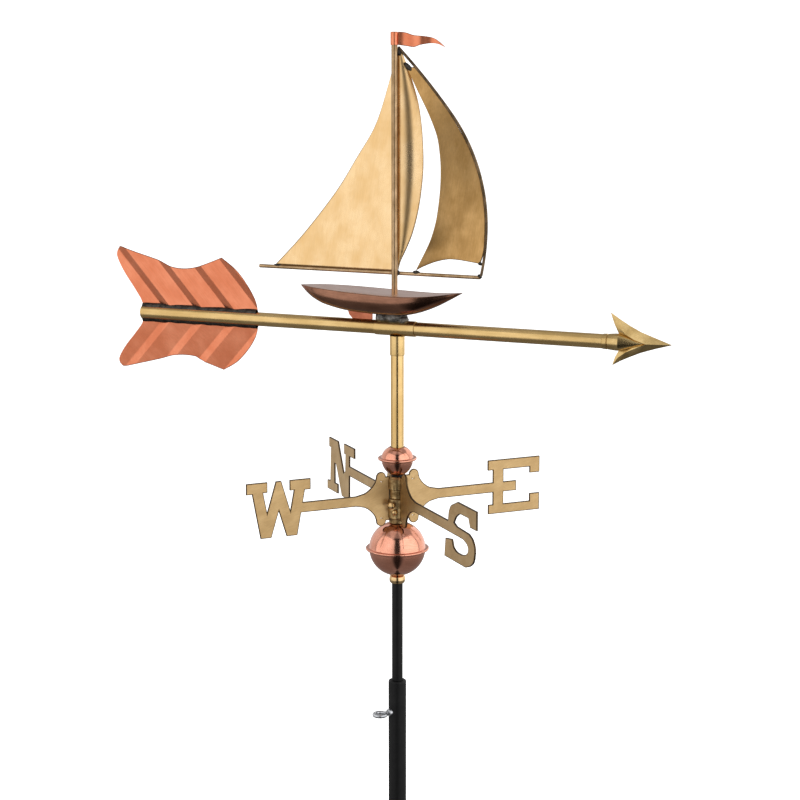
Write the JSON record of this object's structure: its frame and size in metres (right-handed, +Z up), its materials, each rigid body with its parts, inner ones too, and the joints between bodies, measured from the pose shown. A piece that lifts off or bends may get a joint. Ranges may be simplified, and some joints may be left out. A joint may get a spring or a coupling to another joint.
{
  "type": "weather vane",
  "caption": "Copper and brass weather vane: sailing boat on an arrow that turns on a rod, over fixed compass letters and balls, on a black garden pole with a ground stake.",
  "frame": {"origin": "on the turning axis at ground level, where the stake's shoulder meets the lower tube", "axes": "+X points east, +Y north, +Z up along the pole. The arrow rests pointing south-east."},
  "size_m": [0.3792, 0.3799, 1.122],
  "materials": {
    "black_steel": "satin black coating on steel",
    "zinc": "bright zinc plate, slightly dulled",
    "bearing_steel": "ground bearing steel",
    "polished_brass": "polished",
    "tube_brass": "drawn tube, lightly aged, semi-polished",
    "hub_brass": "turned and aged, darker in the recesses",
    "cast_brass": "cast and brushed satin, darker edges",
    "head_bronze": "polished cast bronze",
    "rig_brass": "aged, dark at the edges",
    "stay_brass": "aged dark wire",
    "sail_brass": "pale brushed sheet, mottled",
    "jib_brass": "golden brown brushed sheet, mottled",
    "fin_copper": "bright rolled copper sheet",
    "copper_ball": "spun and polished copper",
    "hull_copper": "dark polished copper",
    "deck_copper": "satin copper, dulled pink",
    "solder": "darkened soft solder"
  },
  "bodies": {
    "pole": {"ground_stake": "black_steel", "socket_tube": "black_steel", "eye_screw_nut": "zinc"},
    "eye_screw": {"eye_screw": "zinc"},
    "rod": {"support_rod": "black_steel", "bead_collar": "polished_brass", "large_ball_lower": "copper_ball", "large_ball_upper": "copper_ball", "small_ball_lower": "copper_ball", "small_ball_upper": "copper_ball"},
    "compass": {"compass_hub": "hub_brass", "hub_set_screws": "polished_brass", "arm_screws": "cast_brass", "arm_north": "cast_brass", "arm_east": "cast_brass", "arm_south": "cast_brass", "arm_west": "cast_brass"},
    "vane": {"spindle_tube": "tube_brass", "bearing_ball": "bearing_steel", "thrust_plug": "tube_brass", "tee_fitting": "tube_brass", "arrow_tube_tail": "tube_brass", "arrow_tube_head": "tube_brass", "tail_plug": "solder", "tail_fin_upper": "fin_copper", "tail_fin_lower": "fin_copper", "tail_seams": "solder", "arrowhead_socket": "head_bronze", "arrowhead": "head_bronze", "hull_saddle": "solder", "keel_fin": "fin_copper", "hull_shell": "hull_copper", "deck_plate": "deck_copper", "mast": "rig_brass", "boom": "rig_brass", "forestay": "stay_brass", "mainsail": "sail_brass", "jib": "jib_brass", "pennant": "fin_copper", "pennant_sleeve": "fin_copper", "rig_joints": "solder"}
  },
  "joints": [
    {"name": "eye_screw_turn", "type": "hinge", "parent": "pole", "child": "eye_screw", "pos_m": [0, 0, 0.2705], "axis": [-0.9781, -0.2079, 0], "continuous": true},
    {"name": "rod_height", "type": "slide", "parent": "pole", "child": "rod", "axis": [0, 0, 1], "range_m": [0, 0.15]},
    {"name": "compass_turn", "type": "hinge", "parent": "rod", "child": "compass", "pos_m": [0, 0, 0.474], "axis": [0, 0, 1], "continuous": true},
    {"name": "vane_spin", "type": "hinge", "parent": "rod", "child": "vane", "pos_m": [0, 0, 0.63], "axis": [0, 0, 1], "continuous": true}
  ]
}
